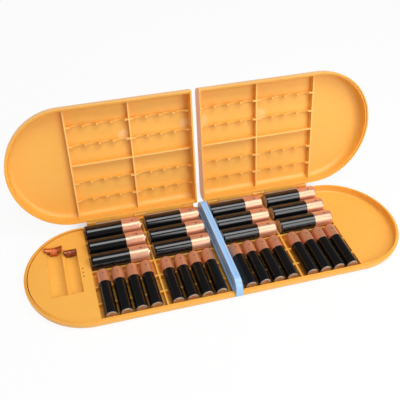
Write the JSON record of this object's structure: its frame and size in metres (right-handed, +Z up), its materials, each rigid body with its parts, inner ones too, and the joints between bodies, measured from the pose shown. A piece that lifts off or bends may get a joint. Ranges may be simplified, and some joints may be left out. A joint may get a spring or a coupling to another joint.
{
  "type": "battery storage case",
  "caption": "Stadium-shaped organiser tray for AA and AAA cells, with scalloped ribs, a battery tester deck, a bar down the middle and hinged, ribbed half lids.",
  "frame": {"origin": "centre of the tray's flat underside, where it rests on a table", "axes": "+X along the case's length towards the open compartment, +Y to the back where the lids are hinged, +Z up"},
  "size_m": [0.3276, 0.146, 0.1096],
  "materials": {
    "case": "satin orange moulding",
    "bar": "satin light blue moulding",
    "hinge_pin": "plain steel wire",
    "circuit_board": "solder mask over glass laminate",
    "chip": "moulded epoxy",
    "red_light": "tinted clear lens, unlit",
    "yellow_light": "tinted clear lens, unlit",
    "green_light": "tinted clear lens, unlit",
    "contact": "dulled spring copper",
    "cell": "shrink sleeve, black with a copper-coloured end"
  },
  "bodies": {
    "case_base": {"aa_negative_contact": "contact", "aa_positive_contact": "contact", "aaa_negative_contact": "contact", "aaa_positive_contact": "contact", "base_tray": "case", "centre_bar": "bar", "good_light": "green_light", "left_hinge_pin": "hinge_pin", "replace_light": "red_light", "right_hinge_pin": "hinge_pin", "tester_chip": "chip", "tester_circuit_board": "circuit_board", "tester_deck": "case", "weak_light": "yellow_light"},
    "left_lid": {"left_lid": "case"},
    "right_lid": {"right_lid": "case"},
    "aa_battery_01": {"aa_battery_01": "cell"},
    "aa_battery_02": {"aa_battery_02": "cell"},
    "aa_battery_03": {"aa_battery_03": "cell"},
    "aa_battery_04": {"aa_battery_04": "cell"},
    "aa_battery_05": {"aa_battery_05": "cell"},
    "aa_battery_06": {"aa_battery_06": "cell"},
    "aa_battery_07": {"aa_battery_07": "cell"},
    "aa_battery_08": {"aa_battery_08": "cell"},
    "aa_battery_09": {"aa_battery_09": "cell"},
    "aa_battery_10": {"aa_battery_10": "cell"},
    "aa_battery_11": {"aa_battery_11": "cell"},
    "aa_battery_12": {"aa_battery_12": "cell"},
    "aaa_battery_01": {"aaa_battery_01": "cell"},
    "aaa_battery_02": {"aaa_battery_02": "cell"},
    "aaa_battery_03": {"aaa_battery_03": "cell"},
    "aaa_battery_04": {"aaa_battery_04": "cell"},
    "aaa_battery_05": {"aaa_battery_05": "cell"},
    "aaa_battery_06": {"aaa_battery_06": "cell"},
    "aaa_battery_07": {"aaa_battery_07": "cell"},
    "aaa_battery_08": {"aaa_battery_08": "cell"},
    "aaa_battery_09": {"aaa_battery_09": "cell"},
    "aaa_battery_10": {"aaa_battery_10": "cell"},
    "aaa_battery_11": {"aaa_battery_11": "cell"},
    "aaa_battery_12": {"aaa_battery_12": "cell"},
    "aaa_battery_13": {"aaa_battery_13": "cell"},
    "aaa_battery_14": {"aaa_battery_14": "cell"},
    "aaa_battery_15": {"aaa_battery_15": "cell"},
    "aaa_battery_16": {"aaa_battery_16": "cell"}
  },
  "joints": [
    {"name": "left_lid_hinge", "type": "hinge", "parent": "case_base", "child": "left_lid", "pos_m": [-0.057, 0.0531, 0.0101], "axis": [-1, 0, 0], "range_deg": [-108.2, 0]},
    {"name": "right_lid_hinge", "type": "hinge", "parent": "case_base", "child": "right_lid", "pos_m": [0.057, 0.0531, 0.0101], "axis": [-1, 0, 0], "range_deg": [-108.2, 0]},
    {"name": "aa_battery_01_lift_out", "type": "slide", "parent": "case_base", "child": "aa_battery_01", "axis": [0, 0, 1], "range_m": [0, 0.04]},
    {"name": "aa_battery_02_lift_out", "type": "slide", "parent": "case_base", "child": "aa_battery_02", "axis": [0, 0, 1], "range_m": [0, 0.04]},
    {"name": "aa_battery_03_lift_out", "type": "slide", "parent": "case_base", "child": "aa_battery_03", "axis": [0, 0, 1], "range_m": [0, 0.04]},
    {"name": "aa_battery_04_lift_out", "type": "slide", "parent": "case_base", "child": "aa_battery_04", "axis": [0, 0, 1], "range_m": [0, 0.04]},
    {"name": "aa_battery_05_lift_out", "type": "slide", "parent": "case_base", "child": "aa_battery_05", "axis": [0, 0, 1], "range_m": [0, 0.04]},
    {"name": "aa_battery_06_lift_out", "type": "slide", "parent": "case_base", "child": "aa_battery_06", "axis": [0, 0, 1], "range_m": [0, 0.04]},
    {"name": "aa_battery_07_lift_out", "type": "slide", "parent": "case_base", "child": "aa_battery_07", "axis": [0, 0, 1], "range_m": [0, 0.04]},
    {"name": "aa_battery_08_lift_out", "type": "slide", "parent": "case_base", "child": "aa_battery_08", "axis": [0, 0, 1], "range_m": [0, 0.04]},
    {"name": "aa_battery_09_lift_out", "type": "slide", "parent": "case_base", "child": "aa_battery_09", "axis": [0, 0, 1], "range_m": [0, 0.04]},
    {"name": "aa_battery_10_lift_out", "type": "slide", "parent": "case_base", "child": "aa_battery_10", "axis": [0, 0, 1], "range_m": [0, 0.04]},
    {"name": "aa_battery_11_lift_out", "type": "slide", "parent": "case_base", "child": "aa_battery_11", "axis": [0, 0, 1], "range_m": [0, 0.04]},
    {"name": "aa_battery_12_lift_out", "type": "slide", "parent": "case_base", "child": "aa_battery_12", "axis": [0, 0, 1], "range_m": [0, 0.04]},
    {"name": "aaa_battery_01_lift_out", "type": "slide", "parent": "case_base", "child": "aaa_battery_01", "axis": [0, 0, 1], "range_m": [0, 0.04]},
    {"name": "aaa_battery_02_lift_out", "type": "slide", "parent": "case_base", "child": "aaa_battery_02", "axis": [0, 0, 1], "range_m": [0, 0.04]},
    {"name": "aaa_battery_03_lift_out", "type": "slide", "parent": "case_base", "child": "aaa_battery_03", "axis": [0, 0, 1], "range_m": [0, 0.04]},
    {"name": "aaa_battery_04_lift_out", "type": "slide", "parent": "case_base", "child": "aaa_battery_04", "axis": [0, 0, 1], "range_m": [0, 0.04]},
    {"name": "aaa_battery_05_lift_out", "type": "slide", "parent": "case_base", "child": "aaa_battery_05", "axis": [0, 0, 1], "range_m": [0, 0.04]},
    {"name": "aaa_battery_06_lift_out", "type": "slide", "parent": "case_base", "child": "aaa_battery_06", "axis": [0, 0, 1], "range_m": [0, 0.04]},
    {"name": "aaa_battery_07_lift_out", "type": "slide", "parent": "case_base", "child": "aaa_battery_07", "axis": [0, 0, 1], "range_m": [0, 0.04]},
    {"name": "aaa_battery_08_lift_out", "type": "slide", "parent": "case_base", "child": "aaa_battery_08", "axis": [0, 0, 1], "range_m": [0, 0.04]},
    {"name": "aaa_battery_09_lift_out", "type": "slide", "parent": "case_base", "child": "aaa_battery_09", "axis": [0, 0, 1], "range_m": [0, 0.04]},
    {"name": "aaa_battery_10_lift_out", "type": "slide", "parent": "case_base", "child": "aaa_battery_10", "axis": [0, 0, 1], "range_m": [0, 0.04]},
    {"name": "aaa_battery_11_lift_out", "type": "slide", "parent": "case_base", "child": "aaa_battery_11", "axis": [0, 0, 1], "range_m": [0, 0.04]},
    {"name": "aaa_battery_12_lift_out", "type": "slide", "parent": "case_base", "child": "aaa_battery_12", "axis": [0, 0, 1], "range_m": [0, 0.04]},
    {"name": "aaa_battery_13_lift_out", "type": "slide", "parent": "case_base", "child": "aaa_battery_13", "axis": [0, 0, 1], "range_m": [0, 0.04]},
    {"name": "aaa_battery_14_lift_out", "type": "slide", "parent": "case_base", "child": "aaa_battery_14", "axis": [0, 0, 1], "range_m": [0, 0.04]},
    {"name": "aaa_battery_15_lift_out", "type": "slide", "parent": "case_base", "child": "aaa_battery_15", "axis": [0, 0, 1], "range_m": [0, 0.04]},
    {"name": "aaa_battery_16_lift_out", "type": "slide", "parent": "case_base", "child": "aaa_battery_16", "axis": [0, 0, 1], "range_m": [0, 0.04]}
  ]
}
